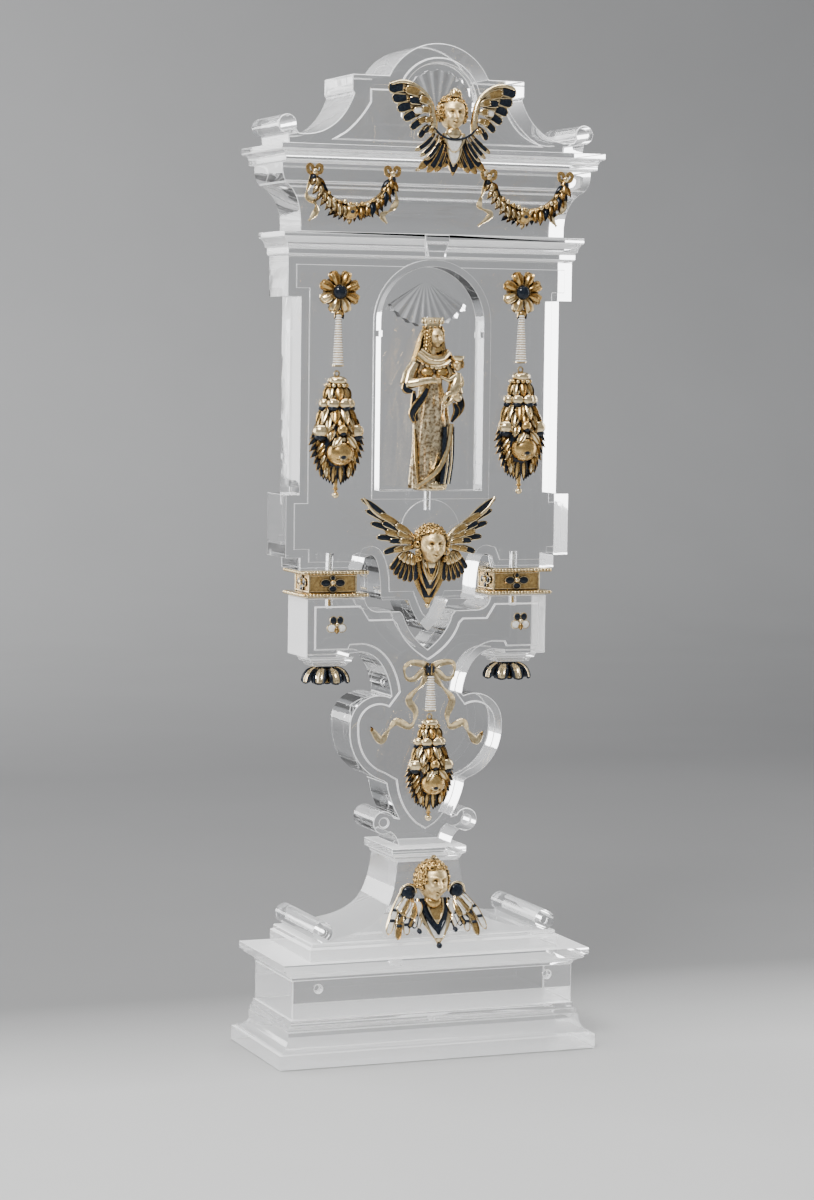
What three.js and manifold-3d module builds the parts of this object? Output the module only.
// Standing shrine of clear rock crystal with gold and enamel mounts.
// Millimetres. +X is to the right seen from the front, the front faces -Y and +Z is up.
// The origin is the centre of the underside.

import * as THREE from "three";
import { mergeVertices } from "three/addons/utils/BufferGeometryUtils.js";
import Module from "manifold-3d";

const wasm = await Module();
wasm.setup();

// Driving dimensions: gaps, borders and the upright slabs
const JOINT_GAP = 0.1;
const MOUNT_GAP = 0.3;
const SLAB_Y = 11.2;
const BORDER = 3.2;
const FIELD_RISE = 0.6;
const MOUNT_Y = -SLAB_Y - MOUNT_GAP;

// Driving dimensions: half widths, half depths and heights of the stacked crystals
const FOOT = { x: 64, y: 28.6, slab: 5.4, top: 16.8 };
const DADO = { x: 56.9, y: 21.9, top: 31.8, holeX: 46.6, holeZ: 28.9, holeR: 1.5, holeDepth: 3 };
const CORNICE = { x: 61.8, y: 26.8, top: 38.7 };
const PLINTH = { x: 50.6, y: 23.3, step: 43.6, top: 45.5, stepIn: 1 };
const SKIRT = { neckX: 12.5, neckY: 14.2, top: 73.3, rollX: 45.1, rollZ: 49.6, rollR: 3.9, rollY: 21.9 };
const ABACUS = { x: 15.2, y: 15.2, top: 78.8 };
const BRACKET = { foot: 10.6, arm: 48.6, armBottom: 151.3, top: 173.7, notch: 153.6 };
const VOLUTE = { x: 16.8, z: 88, r: 4.4 };
const C_SCROLL = { x: 19.4, z: 124.9, r: 11.7 };
const PAD = { x: 37.5, half: 8.8, y: 7.4, bottom: 147.7 };
const PANEL = {
  tip: 160.7, ledge: 172.7, foot: 184.2, blockBottom: 189, blockTop: 212.5,
  earBottom: 286, top: 301, shaft: 52.1, block: 57.3, legIn: 27.4, legOut: 51.5,
};
const NICHE = {
  half: 20.8, sill: 213.9, spring: 277.3, depth: 7.8, frame: 2.9, frameBottom: 210.8, rise: 0.5,
  string: 271.6, stringTop: 273.9,
};
const DISC = { z: 198.8, r: 11.8, rise: 0.6 };
const ENTABLATURE = { x: 60.4, y: 14.9, top: 309.9, keyRise: 0.5 };
const FRIEZE = { x: 53.1, y: 11.9, flare: 8.9, depthShare: 0.5, top: 334.9 };
const TOP_CORNICE = { x: 64.6, y: 23.8, top: 341.5 };
const PEDIMENT = {
  y: 15.8, rollX: 59.6, rollZ: 348.9, rollR: 3.6, shoulderX: 34.5, shoulderZ: 368, archR: 22, archZ: 358.7,
};

// Driving dimensions: gold mounts
const COLLAR = { x: 38, half: 13.2, y: 11.8, bodyHalf: 9.8, bodyY: 8, bottom: 174.1, top: 184, plate: 1.4 };
const PIN = { x: 37.5, r: 0.9, holeR: 1.5, top: 190.3, bottom: 169.3 };
const ROSETTE = {
  petal: 8.4, petals: 8,
  left: { x: -37.9, z: 287.9, rodTop: 278, rodBottom: 260.6 },
  right: { x: 35.9, z: 289, rodTop: 279, rodBottom: 262.6 },
};
const DROP = {
  left: { x: -38.7, top: 258, half: 10.6, length: 47 },
  right: { x: 35.5, top: 260.6, half: 10.2, length: 48 },
  central: { x: 0.2, top: 129, half: 9.6, length: 40.5 },
};
const FIGURE = { y: -8.6, base: 214.1 };
const SWAG = { left: -36.2, right: 33, half: 15.4, top: 331.2, low: 319.6 };
const PANSY = { x: 37.4, z: 163.8, petal: 4 };
const LEAF_CUP = { x: 37.2, top: 147.4, reach: 9, drop: 7, leaves: 7 };
const BOW = { x: 0.3, z: 145.7 };

const DEGREE = Math.PI / 180;

const crystal = new THREE.MeshStandardMaterial({
  color: 0xeef2f4, roughness: 0.03, metalness: 0, transparent: true, opacity: 0.35,
});
const gold = new THREE.MeshStandardMaterial({ color: 0xd6a648, roughness: 0.3, metalness: 1 });
const goldAndEnamel = new THREE.MeshStandardMaterial({ color: 0xc2964a, roughness: 0.25, metalness: 0.8 });

const shrine = new THREE.Group();

// Solids from vertices and faces

function fromFaces(vertices, faces) {
  let volume = 0;
  for (const [a, b, c] of faces) {
    const [p, q, r] = [vertices[a], vertices[b], vertices[c]];
    volume += p[0] * (q[1] * r[2] - q[2] * r[1]);
    volume += p[1] * (q[2] * r[0] - q[0] * r[2]);
    volume += p[2] * (q[0] * r[1] - q[1] * r[0]);
  }
  const outward = volume > 0 ? faces : faces.map(([a, b, c]) => [a, c, b]);
  const geometry = new THREE.BufferGeometry();
  geometry.setAttribute("position", new THREE.Float32BufferAttribute(vertices.flat(), 3));
  geometry.setIndex(outward.flat());
  return geometry;
}

function toSolid(source) {
  const plain = source.clone();
  plain.deleteAttribute("normal");
  plain.deleteAttribute("uv");
  const merged = mergeVertices(plain, 1e-4);
  return new wasm.Manifold(new wasm.Mesh({
    numProp: 3,
    vertProperties: new Float32Array(merged.attributes.position.array),
    triVerts: new Uint32Array(merged.index.array),
  }));
}

function fromSolid(solid) {
  const mesh = solid.getMesh();
  const geometry = new THREE.BufferGeometry();
  geometry.setAttribute("position", new THREE.Float32BufferAttribute(Array.from(mesh.vertProperties), 3));
  geometry.setIndex(Array.from(mesh.triVerts));
  return geometry;
}

function joined(parts) {
  return fromSolid(parts.map(toSolid).reduce((whole, part) => whole.add(part)));
}

function cut(body, tools) {
  return fromSolid(tools.map(toSolid).reduce((whole, tool) => whole.subtract(tool), toSolid(body)));
}

function addPiece(name, geometry, material) {
  const flat = geometry.index ? geometry.toNonIndexed() : geometry;
  flat.deleteAttribute("uv");
  flat.computeVertexNormals();
  const mesh = new THREE.Mesh(flat, material);
  mesh.name = name;
  shrine.add(mesh);
}

// Rings of equal length joined into one closed solid with flat ends

function loft(rings) {
  const size = rings[0].length;
  const vertices = rings.flat();
  const faces = [];
  for (let i = 0; i + 1 < rings.length; i++) {
    for (let j = 0; j < size; j++) {
      const next = (j + 1) % size;
      const [a, b, c, d] = [i * size + j, i * size + next, (i + 1) * size + next, (i + 1) * size + j];
      faces.push([a, b, c], [a, c, d]);
    }
  }
  const last = (rings.length - 1) * size;
  for (let j = 1; j + 1 < size; j++) {
    faces.push([0, j + 1, j], [last, last + j, last + j + 1]);
  }
  return fromFaces(vertices, faces);
}

function rectangle(halfX, halfY, z) {
  return [[-halfX, -halfY, z], [halfX, -halfY, z], [halfX, halfY, z], [-halfX, halfY, z]];
}

// A mitred moulding round a rectangle: each profile entry is [outward step, height]

function moulding(halfX, halfY, profile) {
  return loft(profile.map(([out, z]) => rectangle(halfX + out, halfY + out, z)));
}

// Outlines seen from the front, as [x, z] points

function arcPoints(x, z, r, from, to, steps) {
  const points = [];
  for (let i = 0; i <= steps; i++) {
    const angle = (from + (to - from) * i / steps) * DEGREE;
    points.push([x + r * Math.cos(angle), z + r * Math.sin(angle)]);
  }
  return points;
}

function bezierPoints(controls, steps) {
  const vectors = controls.map(([x, z]) => new THREE.Vector2(x, z));
  const curve = controls.length === 3
    ? new THREE.QuadraticBezierCurve(...vectors)
    : new THREE.CubicBezierCurve(...vectors);
  return curve.getPoints(steps).map((p) => [p.x, p.y]);
}

function mirrored(half) {
  const back = half.filter(([x]) => x > 1e-6).map(([x, z]) => [-x, z]).reverse();
  return [...half, ...back];
}

function slab(outline, front, back) {
  const shape = new THREE.Shape(outline.map(([x, z]) => new THREE.Vector2(x, z)));
  const geometry = new THREE.ExtrudeGeometry(shape, { depth: back - front, bevelEnabled: false });
  return geometry.rotateX(Math.PI / 2).translate(0, back, 0);
}

function drill(x, z, r, front, back, sides = 10) {
  const geometry = new THREE.CylinderGeometry(r, r, back - front, sides);
  return geometry.translate(0, (back + front) / 2, 0).translate(x, 0, z);
}

function upright(x, y, r, bottom, top, sides = 8) {
  const geometry = new THREE.CylinderGeometry(r, r, top - bottom, sides).rotateX(Math.PI / 2);
  return geometry.translate(x, y, (top + bottom) / 2);
}

// A slab with a raised field inside a plain border on its front

function fieldedSlab(outline, field, halfY) {
  return [slab(outline, -halfY + FIELD_RISE, halfY), slab(field, -halfY, -halfY + FIELD_RISE + 0.2)];
}

// Plinth crystals

function chip(x, y, z, r) {
  return new THREE.IcosahedronGeometry(r, 0).scale(1.5, 1, 0.8).translate(x, y, z);
}

function baseFoot() {
  const out = FOOT.x - DADO.x;
  const body = moulding(DADO.x, DADO.y, [
    [out - 0.4, 0], [out, 0.4], [out, FOOT.slab - 0.3], [out - 0.5, FOOT.slab],
    [out - 1.5, FOOT.slab + 0.1], [out - 2.2, 7.2], [out - 3.6, 8.6], [out - 4.6, 10.6], [out - 5.1, 13],
    [out - 5.6, 13.2], [out - 5.6, 14.6], [out - 6.3, 14.8], [out - 6.6, FOOT.top],
  ]);
  const chips = [
    chip(-1.2, -DADO.y - 1.6, 14.8, 1.4),
    chip(46.5, -DADO.y - 0.7, FOOT.top, 1.3),
    chip(-FOOT.x + 1.5, FOOT.y - 1.5, 9.5, 5.2),
  ];
  return cut(body, chips);
}

function baseDado() {
  const body = moulding(DADO.x, DADO.y, [
    [-0.3, FOOT.top + JOINT_GAP], [0, FOOT.top + 0.4], [0, DADO.top - 0.3], [-0.3, DADO.top],
  ]);
  const holes = [-1, 1].map((side) => (
    drill(side * DADO.holeX, DADO.holeZ - 0.6, DADO.holeR, -DADO.y - 1, -DADO.y + DADO.holeDepth)
  ));
  return cut(body, holes);
}

function baseCornice() {
  const out = CORNICE.x - DADO.x;
  const body = moulding(DADO.x, DADO.y, [
    [0.1, DADO.top + JOINT_GAP], [0.5, 32.8], [1.5, 33.6], [3, 34.2], [3.6, 35], [3.6, 36.1],
    [out - 0.3, 36.2], [out, 36.5], [out, CORNICE.top - 0.3], [out - 0.3, CORNICE.top],
  ]);
  return cut(body, [chip(-17.5, -CORNICE.y + 0.2, 37.2, 2.1)]);
}

function steppedPlinth() {
  return moulding(PLINTH.x, PLINTH.y, [
    [-0.3, CORNICE.top + JOINT_GAP], [0, CORNICE.top + 0.4], [0, PLINTH.step - 0.3],
    [-0.3, PLINTH.step], [-PLINTH.stepIn, PLINTH.step + 0.05], [-PLINTH.stepIn, PLINTH.top - 0.2],
    [-PLINTH.stepIn - 0.2, PLINTH.top],
  ]);
}

function scrollSkirt() {
  const flare = [
    [46.4, 24.2, PLINTH.top + JOINT_GAP], [46.4, 24.2, 46.2], [37.3, 22, 47.1], [30.6, 20.4, 48.2],
    [25.3, 19.1, 49.5], [21.2, 17.8, 51.2], [18.1, 16.8, 53.4], [15.9, 15.9, 55.9], [14.3, 15.1, 59],
    [13.2, 14.6, 63], [12.6, 14.3, 67], [SKIRT.neckX, SKIRT.neckY, SKIRT.top],
  ];
  const { rollX, rollY } = SKIRT;
  const body = loft(flare.map(([x, y, z]) => rectangle(Math.min(x, rollX), Math.min(y, rollY), z)));
  const rolls = [-1, 1].map((side) => (
    drill(side * rollX, SKIRT.rollZ, SKIRT.rollR, -rollY, rollY, 16)
  ));
  return joined([body, ...rolls]);
}

function abacus() {
  return moulding(ABACUS.x, ABACUS.y, [
    [-2.3, SKIRT.top + JOINT_GAP], [-1.6, 74.2], [-1.2, 75.2], [-0.4, 75.6], [0, 75.9],
    [0, ABACUS.top - 0.3], [-0.3, ABACUS.top],
  ]);
}

// Lyre bracket: small volutes, C-scrolls, cove and two arms with a notch between them

function bracketOutline() {
  const { foot, arm, armBottom, top, notch } = BRACKET;
  return mirrored([
    [0, ABACUS.top + JOINT_GAP],
    [foot, ABACUS.top + JOINT_GAP],
    ...bezierPoints([[foot + 0.4, 80.3], [12, 83], [14.2, 84.4]], 3),
    ...arcPoints(VOLUTE.x, VOLUTE.z, VOLUTE.r, -110, 155, 11),
    [foot + 0.2, 89.4],
    ...bezierPoints([[foot + 0.6, 90.2], [13.2, 94], [15.4, 98.6], [15.9, 103]], 4),
    ...bezierPoints([[17.2, 104], [24.8, 106.2], [31.5, 114], [C_SCROLL.x + 11.68, 123.8]], 7),
    ...arcPoints(C_SCROLL.x, C_SCROLL.z, C_SCROLL.r, 4, 112, 8),
    ...bezierPoints([[14.4, 136.3], [15.4, 145], [19.5, 152.6], [26.6, 153.2]], 6),
    [31.4, 152.8],
    [31.9, armBottom],
    [arm, armBottom],
    [arm, top],
    [25.4, top],
    ...arcPoints(20.2, top, 5.3, 0, -84, 4).slice(1),
    [11.2, 168.3],
    ...bezierPoints([[9.8, 166.6], [8, 159.4], [0, notch]], 5),
  ]);
}

function bracketField() {
  const { arm, armBottom, top, notch } = BRACKET;
  return mirrored([
    [0, 85.3],
    ...bezierPoints([[3.6, 87.4], [8.2, 91.4], [11.2, 96.6], [12, 104.4]], 4),
    ...bezierPoints([[17, 107.2], [23, 109.2], [28, 115], [C_SCROLL.x + 8.4, 124]], 5),
    ...arcPoints(C_SCROLL.x, C_SCROLL.z, C_SCROLL.r - BORDER, 5, 118, 6),
    ...bezierPoints([[11.2, 137.8], [12.6, 147.4], [18, 155.6], [26.6, 156.4]], 5),
    [31.6, 156.2],
    [32.4, armBottom + BORDER],
    [arm - BORDER, armBottom + BORDER],
    [arm - BORDER, top - BORDER],
    [27.4, top - BORDER],
    [24, 165.2],
    [14.2, 165.2],
    ...bezierPoints([[12.6, 163.6], [10, 155.6], [0, notch - 3.7]], 4),
  ]);
}

function lyreBracket() {
  const holes = [-1, 1].map((side) => (
    upright(side * PIN.x, 0, PIN.holeR, PIN.bottom, BRACKET.top + 1)
  ));
  return cut(joined(fieldedSlab(bracketOutline(), bracketField(), SLAB_Y)), holes);
}

function bracketPad(side) {
  const top = BRACKET.armBottom - JOINT_GAP;
  const body = moulding(PAD.half, PAD.y, [
    [-2.2, PAD.bottom], [-1.8, PAD.bottom + 0.9], [-0.6, PAD.bottom + 1.6],
    [-0.4, top - 0.9], [0, top - 0.7], [0, top],
  ]);
  return body.translate(side * PAD.x, 0, 0);
}

// Main panel with its tongue, legs, blocks, shaft and ears

function panelOutline() {
  const { tip, ledge, foot, blockBottom, blockTop, earBottom, top, shaft, block, legIn, legOut } = PANEL;
  return mirrored([
    [0, tip],
    ...bezierPoints([[4, 164.6], [6.4, 167.8], [7.9, ledge - 0.4]], 4),
    [8.2, ledge],
    [18.6, ledge],
    ...bezierPoints([[19.2, ledge + 1.2], [19.5, 183.6], [20.6, 189.7], [23.5, 189.8]], 6),
    ...bezierPoints([[25.7, 189.7], [26.2, 186.4], [legIn, foot]], 3).slice(1),
    [legOut, foot],
    [legOut, blockBottom],
    [block, blockBottom],
    [block, blockTop],
    [shaft, blockTop],
    [shaft, earBottom],
    [block, earBottom],
    [block, top],
    [0, top],
  ]);
}

function panelField() {
  const { tip, ledge, foot, blockBottom, blockTop, earBottom, top, shaft, block, legIn, legOut } = PANEL;
  return mirrored([
    [0, tip + 4.3],
    ...bezierPoints([[2.2, 167], [4.2, 170.4], [6.3, ledge + BORDER]], 4),
    [16, ledge + BORDER],
    ...bezierPoints([[16.2, 181], [17.6, 193], [23.5, 193.1]], 5),
    ...bezierPoints([[26.6, 193], [28, 190.4], [legIn + 1.6, foot + BORDER]], 3).slice(1),
    [legOut - BORDER, foot + BORDER],
    [legOut - BORDER, blockBottom + BORDER],
    [block - BORDER, blockBottom + BORDER],
    [block - BORDER, blockTop - BORDER],
    [shaft - BORDER, blockTop - BORDER],
    [shaft - BORDER, earBottom + BORDER],
    [block - BORDER, earBottom + BORDER],
    [block - BORDER, top - BORDER],
    [0, top - BORDER],
  ]);
}

function archedOutline(half, bottom, spring, steps) {
  return mirrored([[0, bottom], [half, bottom], ...arcPoints(0, spring, half, 0, 90, steps)]);
}

// A pleated relief between two curves: its pleats run from the inner curve to pointed ends on the outer one

function pleated(options) {
  const { inner, outer, pleats, y, lift, depthAt } = options;
  const { rows = 2, rim = 0.5, back = 0, groove = 0.5, notch = 0.1 } = options;
  const columns = pleats * 2;
  const starts = bezierPoints(inner, columns);
  const ends = bezierPoints(outer, columns);
  return loft(starts.map(([x0, z0], i) => {
    const ridge = i % 2 === 1;
    const reach = ridge ? 1 : 1 - notch;
    const line = [];
    for (let j = 0; j <= rows; j++) {
      const t = j / rows;
      const x = x0 + (ends[i][0] - x0) * t * reach;
      const z = z0 + (ends[i][1] - z0) * t * reach;
      const swell = rim + lift * (ridge ? 1 : groove) * Math.sin((0.16 + 0.74 * t) * Math.PI);
      const plane = y + (depthAt ? depthAt(z) : 0);
      line.push([x, plane - swell, z]);
    }
    const behind = [line[rows], line[0]].map(([x, , z]) => [x, y + (depthAt ? depthAt(z) : 0) + back, z]);
    return [...line, ...behind];
  }));
}

function sideArc(x, half, top, lowHalf, low) {
  return [[x - half, top], [x - lowHalf, low], [x + lowHalf, low], [x + half, top]];
}

function sideways(points, x, side) {
  return points.map(([px, pz]) => [x + side * px, pz]);
}

// The string course along the back and sides of the niche

function band(from, to) {
  return [[from, NICHE.string], [to, NICHE.string], [to, NICHE.stringTop], [from, NICHE.stringTop]];
}

function impost(side) {
  const wall = side * (NICHE.half + 0.4);
  const inner = side * (NICHE.half - 0.9);
  return slab(band(Math.min(wall, inner), Math.max(wall, inner)), -SLAB_Y + 0.6, -SLAB_Y + NICHE.depth + 0.4);
}

function mainPanel() {
  const body = joined(fieldedSlab(panelOutline(), panelField(), SLAB_Y));
  const frame = slab(archedOutline(NICHE.half + NICHE.frame, NICHE.frameBottom, NICHE.spring - 0.4, 9),
    -SLAB_Y - NICHE.rise, -SLAB_Y + 1);
  const disc = drill(0, DISC.z, DISC.r, -SLAB_Y - DISC.rise, -SLAB_Y + 1, 20);
  const backWall = -SLAB_Y + NICHE.depth;
  const opening = slab(archedOutline(NICHE.half, NICHE.sill, NICHE.spring, 9), -SLAB_Y - 2, backWall);
  const holes = [-1, 1].map((side) => upright(side * PIN.x, 0, PIN.holeR, PANEL.foot - 1, PIN.top));
  const figureHole = upright(0, FIGURE.y + 2.4, 1.3, 206.4, NICHE.sill + 1);
  const solid = cut(joined([body, frame, disc]), [opening, ...holes, figureHole]);
  const shell = pleated({
    inner: [[-3, 291.4], [0, 292.6], [3, 291.4]],
    outer: sideArc(0, 15.6, 284.4, 8.6, 278.4),
    pleats: 7, rows: 3, y: backWall, lift: 4.2, rim: 0.6, back: 0.5, notch: 0.05,
  });
  const stringCourse = slab(band(-NICHE.half - 0.2, NICHE.half + 0.2), backWall - 0.9, backWall + 0.5);
  return joined([solid, shell, stringCourse, impost(-1), impost(1)]);
}

// Entablature, frieze, cornice and pediment

function lowerEntablature() {
  const out = ENTABLATURE.x - PANEL.block;
  const bottom = PANEL.top + JOINT_GAP;
  const top = ENTABLATURE.top;
  const body = moulding(PANEL.block, ENTABLATURE.y - out, [
    [0, bottom], [0.6, bottom + 0.6], [0.6, 304.2], [1.2, 304.5], [1.7, 306], [2.7, 307.6],
    [out, 308.2], [out, top - 0.3], [out - 0.3, top],
  ]);
  const keyFront = -ENTABLATURE.y - ENTABLATURE.keyRise;
  const key = loft([[bottom + 0.3, 3.4], [304.2, 3.9], [307.8, 4.8], [top - 0.2, 4.8]].map(([z, half]) => [
    [-half, keyFront, z], [half, keyFront, z], [half, 0, z], [-half, 0, z],
  ]));
  return joined([body, key]);
}

function frieze() {
  const flare = [
    [0, 310], [0, 313], [0.3, 316], [1.1, 320.2], [2.3, 322.8], [3.9, 325], [6.4, 327.2], [6.9, 327.5],
    [7.6, 328.6], [8.4, 330.6], [FRIEZE.flare, FRIEZE.top],
  ];
  return loft(flare.map(([out, z]) => rectangle(FRIEZE.x + out, FRIEZE.y + out * FRIEZE.depthShare, z)));
}

function topCornice() {
  const { x, y, top } = TOP_CORNICE;
  return moulding(x, y, [
    [-2.6, FRIEZE.top + JOINT_GAP], [-2.2, 335.3], [-2.2, 337.2], [-1.6, 337.5], [-1.2, 338.4], [-0.3, 339.2],
    [0, 339.6], [0, top - 0.3], [-0.3, top],
  ]);
}

function pedimentOutline() {
  const { rollX, rollZ, rollR, shoulderX, shoulderZ, archR, archZ } = PEDIMENT;
  const bottom = TOP_CORNICE.top + JOINT_GAP;
  const meet = Math.asin((shoulderZ - archZ) / archR) / DEGREE;
  return mirrored([
    [0, bottom],
    [rollX - 0.6, bottom],
    [rollX - 0.2, rollZ - rollR + 0.1],
    ...arcPoints(rollX, rollZ, rollR, -80, 205, 12),
    ...bezierPoints([[55.2, 345.7], [45.6, 344.6], [37.4, 350.4], [33.7, 361]], 8),
    [shoulderX, 362],
    [shoulderX, shoulderZ],
    ...arcPoints(0, archZ, archR, meet, 90, 7),
  ]);
}

function pedimentField() {
  const { archR, archZ } = PEDIMENT;
  const inner = archR - 5.4;
  return mirrored([
    [0, 343.9],
    [41.6, 343.9],
    ...bezierPoints([[37, 346.6], [31, 351.4], [27.3, 358]], 4),
    [27.3, 362.6],
    ...arcPoints(0, archZ, inner, 14, 90, 6),
  ]);
}

function pediment() {
  const { y, archR, archZ } = PEDIMENT;
  const body = joined(fieldedSlab(pedimentOutline(), pedimentField(), y));
  const lunette = slab(archedOutline(archR - 7.2, archZ - 6, archZ, 6), -y - 1, -y + 3);
  const shell = pleated({
    inner: [[-3.4, archZ - 3.6], [0, archZ - 2.2], [3.4, archZ - 3.6]],
    outer: sideArc(0, archR - 9, archZ - 2.6, archR - 8, archZ + 17.6),
    pleats: 7, rows: 2, y: -y + 3, lift: 2, rim: 0.5, back: 0.5, notch: 0.05,
  });
  return joined([cut(body, [lunette]), shell]);
}

// Gold leaves, beads and ribbons

function leaf(length, width, depth, curl = 0) {
  const stations = [[0, 0.5, 0.7], [0.5, 1, 1], [1, 0.2, 0.35]];
  return loft(stations.map(([t, w, d]) => {
    const y = -curl * t * t;
    return [[-width * w / 2, y, t * length], [0, y - depth * d, t * length], [width * w / 2, y, t * length]];
  }));
}

function placed(geometry, { x = 0, y = 0, z = 0, turn = 0, lean = 0 }) {
  return geometry.rotateX(lean * DEGREE).rotateY(turn * DEGREE).translate(x, y, z);
}

function bead(x, y, z, r, stretch = [1, 1, 1]) {
  return new THREE.IcosahedronGeometry(r, 0).scale(...stretch).translate(x, y, z);
}

function ribbon(points, width, thickness, steps) {
  const path = new THREE.CatmullRomCurve3(points.map(([x, y, z]) => new THREE.Vector3(x, y, z)));
  const shape = new THREE.Shape([
    new THREE.Vector2(-thickness / 2, -width / 2), new THREE.Vector2(thickness / 2, -width / 2),
    new THREE.Vector2(thickness / 2, width / 2), new THREE.Vector2(-thickness / 2, width / 2),
  ]);
  return new THREE.ExtrudeGeometry(shape, { steps, extrudePath: path, bevelEnabled: false });
}

function ringLoop(x, y, z, halfX, halfZ, tube) {
  const radius = 1 - tube / halfX;
  const geometry = new THREE.TorusGeometry(halfX * radius, tube, 4, 8).rotateX(Math.PI / 2);
  return geometry.scale(1, 1, halfZ / halfX).translate(x, y, z);
}

// A rounded rod that widens downwards, flat behind

function taperedRod(x, y, top, bottom, topR, bottomR) {
  const stations = [[top, topR], [bottom, bottomR]];
  return loft(stations.map(([z, r]) => arcPoints(x, y, r, 180, 360, 4).map(([px, py]) => [px, py, z])));
}

// A winged cherub head: a head with a cap of hair, pleated wings and a pointed collar

function roundedHead(x, y, z, r, around, high, wall = Infinity) {
  const geometry = new THREE.SphereGeometry(1, around, high).rotateX(Math.PI / 2);
  const position = geometry.attributes.position;
  const bumps = [
    { at: [0, -1, -0.1], size: 0.17, by: 0.2 },
    { at: [0, -0.9, -0.6], size: 0.24, by: 0.1 },
    { at: [0.36, -0.95, 0.12], size: 0.17, by: -0.1 },
    { at: [-0.36, -0.95, 0.12], size: 0.17, by: -0.1 },
  ];
  for (let i = 0; i < position.count; i++) {
    const direction = new THREE.Vector3().fromBufferAttribute(position, i);
    let reach = 1;
    for (const { at, size, by } of bumps) {
      const far = direction.distanceTo(new THREE.Vector3(...at).normalize());
      reach += by * Math.exp(-far * far / (2 * size * size));
    }
    const faceFar = direction.distanceTo(new THREE.Vector3(0, -0.97, -0.22));
    if (faceFar > 0.86 && direction.z > -0.75) {
      reach += 0.12;
    }
    const side = reach * r * 0.9;
    position.setXYZ(i, direction.x * side, Math.min(direction.y * side, wall - y), direction.z * side * 1.28);
  }
  return geometry.translate(x, y, z);
}

function cherub({ x, y, head, wings, collar, depthAt }) {
  const at = (z) => y + (depthAt ? depthAt(z) : 0);
  const parts = [
    roundedHead(x + head.dx, at(head.z) - head.lift, head.z, head.r, 10, 6, at(head.z)),
    bead(x, at(head.z - head.r) - head.r * 0.4, head.z - head.r, head.r * 0.62, [1.7, 0.6, 0.9]),
  ];
  for (const side of [-1, 1]) {
    for (const wing of wings) {
      const inner = sideways(wing.inner, x, side);
      const outer = sideways(wing.outer, x, side);
      parts.push(pleated({ ...wing, y, depthAt, inner, outer }));
    }
  }
  const { top, tip, half, lift } = collar;
  parts.push(pleated({
    inner: [[x - half, top], [x, top - half * 0.9], [x + half, top]],
    outer: [[x - half * 0.5, tip + 3], [x, tip - 3], [x + half * 0.5, tip + 3]],
    pleats: 1, y, lift, rim: 0.6, groove: 0.3, depthAt,
  }));
  return joined(parts);
}

function topCherub() {
  return cherub({
    x: 0.2, y: -TOP_CORNICE.y - MOUNT_GAP, head: { dx: 0, z: 354.4, r: 6.6, lift: 1.8 },
    wings: [
      {
        inner: [[17.6, 366.2], [8.4, 365.4], [5.4, 353], [6.8, 345.4]],
        outer: [[26, 364.4], [25.2, 356.2], [19.4, 348], [11.4, 344]],
        pleats: 5, lift: 2.2, rim: 0.9, notch: 0.12,
      },
      {
        inner: [[2.6, 346.6], [6, 346], [9.4, 345]], outer: [[3.4, 333.6], [10.4, 330.4], [14.2, 334.4]],
        pleats: 3, lift: 1.4, notch: 0.16,
      },
    ],
    collar: { top: 347, tip: 331.4, half: 5.6, lift: 2.6 },
  });
}

function middleCherub() {
  return cherub({
    x: -1, y: MOUNT_Y - DISC.rise, head: { dx: 0.2, z: 193.4, r: 6.6, lift: 3 },
    wings: [
      {
        inner: [[5.6, 198.4], [6.4, 193.6], [7.4, 189.6]], outer: [[28.4, 212.6], [25.6, 200], [19.8, 190.6]],
        pleats: 5, lift: 2, rim: 0.8, notch: 0.2,
      },
      {
        inner: [[4.6, 187.6], [7, 189], [8.8, 191]], outer: [[5.6, 180.4], [12.2, 177.6], [15.4, 186.4]],
        pleats: 3, lift: 1.6, notch: 0.16,
      },
    ],
    collar: { top: 188.4, tip: 170.4, half: 8, lift: 2.6 },
  });
}

function lowerCherub() {
  const lean = 0.48;
  const most = PLINTH.y - ABACUS.y - 0.2;
  return cherub({
    x: 0, y: -PLINTH.y - 2 * MOUNT_GAP, depthAt: (z) => Math.min(lean * Math.max(z - PLINTH.top, 0), most),
    head: { dx: -0.6, z: 66.8, r: 7.2, lift: 4.2 },
    wings: [
      {
        inner: [[6, 60.4], [8.6, 66.4], [14.4, 63]], outer: [[8.4, 48.6], [14, 43.4], [20.2, 47.4]],
        pleats: 4, lift: 1.6, rim: 0.8, notch: 0.16,
      },
    ],
    collar: { top: 60, tip: 42.4, half: 6.8, lift: 2.2 },
  });
}

// Swag of leaves and fruit between two knots, with a fluttering ribbon at each end

function swag(x) {
  const { half, top, low } = SWAG;
  const y = -FRIEZE.y - FRIEZE.flare * FRIEZE.depthShare - MOUNT_GAP;
  const parts = [
    pleated({
      inner: sideArc(x, half + 0.6, top + 1, half * 0.5, low - 1.6),
      outer: sideArc(x, half + 1, top - 3.4, half * 0.7, low - 11.4),
      pleats: 7, y, lift: 2.6, rim: 0.7, notch: 0.3,
    }),
    bead(x, y - 2.4, low - 1.8, 3),
  ];
  for (const side of [-1, 1]) {
    const knotX = x + side * half;
    parts.push(bead(knotX, y - 1.6, top + 1.4, 2, [1.6, 0.8, 1]));
    parts.push(ribbon([
      [knotX, y - 0.5, top], [knotX + side * 1.8, y - 0.5, 323.4], [knotX - side * 1.4, y - 0.5, 319],
      [knotX + side * 1.8, y - 0.5, 314.4],
    ], 1.4, 0.8, 5));
  }
  return joined(parts);
}

// Rosette of eight petals with a bud below it and a tapering rod

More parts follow.
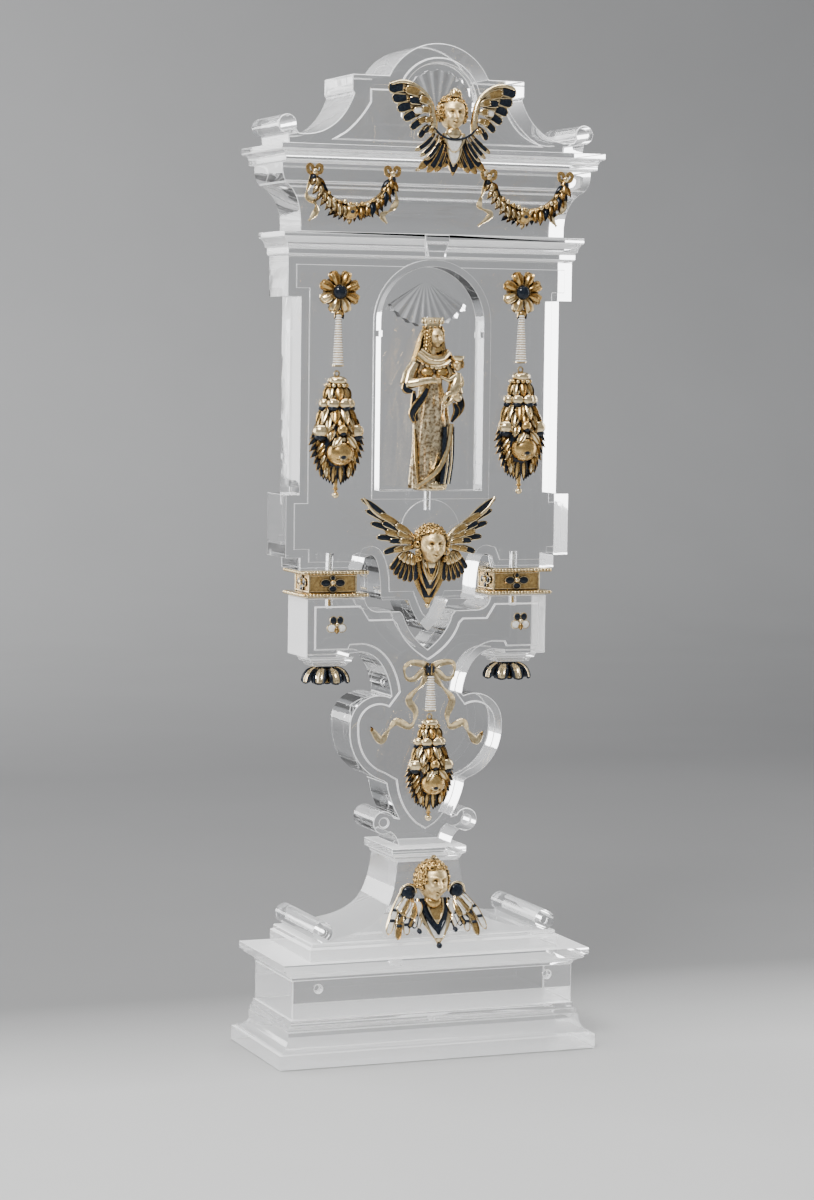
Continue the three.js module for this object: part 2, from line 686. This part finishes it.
function rosette({ x, z, rodTop, rodBottom }) {
  const { petal, petals } = ROSETTE;
  const steps = petals * 2;
  const ring = (radius, rise, scallop) => {
    const points = [];
    for (let i = 0; i < steps; i++) {
      const angle = 2 * Math.PI * i / steps;
      const reach = radius * (i % 2 ? 1 - scallop : 1);
      points.push([x + reach * Math.cos(angle), MOUNT_Y - rise, z + reach * Math.sin(angle)]);
    }
    return points;
  };
  return joined([
    loft([
      ring(petal, 0, 0.24), ring(petal, 0.8, 0.24), ring(petal * 0.6, 1.9, 0.1),
      ring(2.9, 1.3, 0), ring(2.4, 3, 0), ring(1, 4, 0),
    ]),
    placed(leaf(5, 4.4, 3), { x: x - 0.2, y: MOUNT_Y, z: z - 6.2, turn: 180 }),
    taperedRod(x - 0.5, MOUNT_Y, rodTop + 1.6, rodBottom, 0.8, 1.9),
  ]);
}

// A drop of overlapping leaf tiers round a pomegranate, flat behind, with a beaded tip

function fruitDrop({ x, top, half, length }) {
  const columns = 8;
  const tiers = [[0.22, 0.68], [0.38, 0.9], [0.56, 1.02], [0.8, 0.62]];
  const ringAt = (share, radius, scallops, phase) => {
    const ring = [];
    for (let i = 0; i <= columns; i++) {
      const angle = Math.PI * (1 + i / columns);
      const wave = Math.cos(Math.PI * (i + phase));
      const r = half * radius * (1 + 0.08 * scallops * wave);
      const z = top - length * (share + 0.022 * scallops * wave);
      ring.push([x + r * Math.cos(angle), MOUNT_Y + r * 0.8 * Math.sin(angle), z]);
    }
    return ring;
  };
  const rings = [ringAt(0, 0.16, 0, 0), ringAt(0.04, 0.4, 0, 0)];
  tiers.forEach(([share, wide], tier) => {
    rings.push(ringAt(share, wide, 1, tier % 2));
    rings.push(ringAt(share + 0.03, wide * 0.76, 0.5, tier % 2));
  });
  rings.push(ringAt(0.92, 0.1, 0, 0), ringAt(0.96, 0.17, 0, 0), ringAt(1, 0.06, 0, 0));
  return joined([loft(rings), bead(x, MOUNT_Y - half * 0.6, top - length * 0.64, half * 0.5)]);
}

// Small enamel flower of four petals

function pansy(side) {
  const x = side * PANSY.x;
  const rings = [[1, 0], [1, 0.6], [0.35, 1.3]].map(([share, rise]) => {
    const ring = [];
    for (let i = 0; i < 12; i++) {
      const angle = (15 + i * 30) * DEGREE;
      const reach = PANSY.petal * share * (i % 3 === 1 ? 0.6 : 1);
      ring.push([x + reach * Math.cos(angle), MOUNT_Y - rise, PANSY.z + reach * Math.sin(angle)]);
    }
    return ring;
  });
  return joined([loft(rings), bead(x, MOUNT_Y - 1.2, PANSY.z, 1)]);
}

// Drooping leaves round a short stem

function leafCup(side) {
  const { x, top, reach, drop, leaves } = LEAF_CUP;
  const steps = leaves * 2;
  const ring = (radius, z, tips) => {
    const points = [];
    for (let i = 0; i < steps; i++) {
      const angle = 2 * Math.PI * i / steps;
      const out = radius * (i % 2 ? 1 : 1 - 0.24 * tips);
      points.push([side * x + out * Math.cos(angle), out * Math.sin(angle), z + (i % 2 ? 0 : 1.2 * tips)]);
    }
    return points;
  };
  return loft([
    ring(4.2, top, 0), ring(6.6, top - 3, 0.4), ring(reach, top - drop, 1),
    ring(reach - 1.2, top - drop + 0.2, 1), ring(3.4, top - 3.6, 0),
  ]);
}

// Bow with two loops, a ribbed rod and two long fluttering ribbons

function bowWithRibbons() {
  const y = MOUNT_Y - 0.9;
  const { x, z } = BOW;
  const parts = [bead(x, y - 1.5, z - 0.4, 2.4)];
  for (const side of [-1, 1]) {
    parts.push(ringLoop(x + side * 6.2, y, z - 0.4, 4.9, 4.2, 0.8));
  }
  parts.push(taperedRod(x, MOUNT_Y, z - 1, 130.6, 0.9, 2.2));
  parts.push(ribbon([
    [x - 0.6, y, 143], [-8.3, y, 135], [-5.6, y, 130], [-7.4, y, 124.6], [-13.5, y, 126.6], [-17.6, y, 120.6],
    [-23.4, y, 124.4],
  ], 1.9, 0.8, 11));
  parts.push(ribbon([
    [x + 0.6, y, 143], [9.3, y, 134.6], [7, y, 129], [8.7, y, 124.2], [13.8, y, 125.7], [17.2, y, 119.6],
    [22.1, y, 121.2],
  ], 1.9, 0.8, 11));
  return joined(parts);
}

// Collar: two plates on a box, a three-lobed flower on the front and a pin up and down

function collar(side) {
  const { x, half, y, bodyHalf, bodyY, bottom, top, plate } = COLLAR;
  const cx = side * x;
  const box = moulding(bodyHalf, bodyY, [[0, bottom + 0.5], [0, top - 0.5]]);
  const plates = [bottom, top - plate].map((z) => moulding(half, y, [
    [-0.4, z], [0, z + 0.3], [0, z + plate - 0.3], [-0.4, z + plate],
  ]));
  const parts = [box, ...plates].map((geometry) => geometry.translate(cx, 0, 0));
  const middle = (bottom + top) / 2;
  const lobes = [];
  for (let i = 0; i < 12; i++) {
    const angle = (30 + i * 30) * DEGREE;
    const reach = i % 4 === 2 ? 1.9 : 4.4;
    lobes.push([cx + reach * Math.cos(angle), middle + 0.6 + reach * 0.72 * Math.sin(angle)]);
  }
  parts.push(slab(lobes, -bodyY - 0.5, -bodyY + 0.5));
  parts.push(bead(cx, -bodyY - 0.5, middle + 0.4, 1.3));
  parts.push(upright(side * PIN.x, 0, PIN.r, PIN.bottom + MOUNT_GAP, PIN.top - MOUNT_GAP, 6));
  return joined(parts);
}

// Standing robed figure with a child on its arm

function robeRing(z, halfX, halfY, dx, folds) {
  const ring = [];
  const sides = 12;
  for (let i = 0; i < sides; i++) {
    const angle = 2 * Math.PI * i / sides;
    const fold = 1 + folds * (i % 2 ? 1 : -1);
    ring.push([dx + halfX * fold * Math.cos(angle), FIGURE.y + halfY * fold * Math.sin(angle), z]);
  }
  return ring;
}

function standingFigure() {
  const base = FIGURE.base;
  const head = base + 59;
  const robe = loft([
    robeRing(base, 8, 4.4, 0.6, 0), robeRing(base + 2.8, 7.6, 4.3, 0.6, 0.05),
    robeRing(base + 14, 6.8, 4, 0.4, 0.09), robeRing(base + 30, 7, 4, 0.2, 0.08),
    robeRing(base + 44, 7.6, 4.1, 0, 0.04), robeRing(base + 50.6, 7.4, 3.8, -0.4, 0.03),
    robeRing(base + 54, 3.6, 3, -0.6, 0), robeRing(base + 56.6, 2.6, 2.6, -0.5, 0),
  ]);
  const veil = loft([
    robeRing(base + 48, 7.2, 2.6, -0.6, 0.05), robeRing(base + 55, 5.9, 3, -0.6, 0.05),
    robeRing(head, 5, 3, -0.2, 0.03), robeRing(head + 4.2, 3.6, 3, 0.2, 0),
  ]).translate(0, 0.9, 0);
  const parts = [
    robe,
    veil,
    roundedHead(0.2, FIGURE.y - 0.9, head, 3.6, 8, 6),
    new THREE.CylinderGeometry(4.2, 3.6, 2.6, 8).rotateX(Math.PI / 2).translate(0.6, FIGURE.y, head + 5),
    placed(leaf(16, 4.6, 3), { x: -9.2, y: FIGURE.y + 1.4, z: base + 42, turn: 176 }),
    placed(leaf(15, 4.8, 3), { x: 9.4, y: FIGURE.y + 1.4, z: base + 41.6, turn: 188 }),
    bead(-9.4, FIGURE.y - 0.6, base + 42.4, 2.7, [1, 1.1, 1.3]),
    bead(9.6, FIGURE.y - 0.6, base + 39.6, 3.1, [1, 1.1, 1]),
    placed(leaf(12.6, 3, 2.4, 1), { x: -10.4, y: FIGURE.y - 2.4, z: base + 42, turn: 84 }),
    placed(leaf(31, 2.6, 1.4), { x: 8.6, y: FIGURE.y - 3.2, z: base + 33, turn: 205 }),
    bead(7.4, FIGURE.y - 3.4, base + 43.6, 3.4, [0.9, 0.8, 1.4]),
    bead(8.6, FIGURE.y - 3.6, base + 49, 2.4),
    placed(leaf(7, 2.8, 2.2, 0.6), { x: 6.6, y: FIGURE.y - 4, z: base + 41, turn: 218 }),
  ];
  return joined(parts);
}

// The pieces, from the table upwards

addPiece("base_foot", baseFoot(), crystal);
addPiece("base_dado", baseDado(), crystal);
addPiece("base_cornice", baseCornice(), crystal);
addPiece("stepped_plinth", steppedPlinth(), crystal);
addPiece("scroll_skirt", scrollSkirt(), crystal);
addPiece("abacus", abacus(), crystal);
addPiece("lyre_bracket", lyreBracket(), crystal);
for (const [side, word] of [[-1, "left"], [1, "right"]]) {
  addPiece(`bracket_pad_${word}`, bracketPad(side), crystal);
  addPiece(`collar_${word}`, collar(side), goldAndEnamel);
  addPiece(`pansy_${word}`, pansy(side), goldAndEnamel);
  addPiece(`leaf_cup_${word}`, leafCup(side), gold);
}
addPiece("main_panel", mainPanel(), crystal);
addPiece("lower_entablature", lowerEntablature(), crystal);
addPiece("frieze", frieze(), crystal);
addPiece("top_cornice", topCornice(), crystal);
addPiece("pediment", pediment(), crystal);
addPiece("top_cherub", topCherub(), goldAndEnamel);
addPiece("middle_cherub", middleCherub(), goldAndEnamel);
addPiece("lower_cherub", lowerCherub(), goldAndEnamel);
addPiece("swag_left", swag(SWAG.left), gold);
addPiece("swag_right", swag(SWAG.right), gold);
addPiece("rosette_left", rosette(ROSETTE.left), gold);
addPiece("rosette_right", rosette(ROSETTE.right), gold);
addPiece("fruit_drop_left", fruitDrop(DROP.left), gold);
addPiece("fruit_drop_right", fruitDrop(DROP.right), gold);
addPiece("standing_figure_with_child", standingFigure(), gold);
addPiece("bow_with_ribbons", bowWithRibbons(), gold);
addPiece("central_fruit_drop", fruitDrop(DROP.central), gold);

export default shrine;
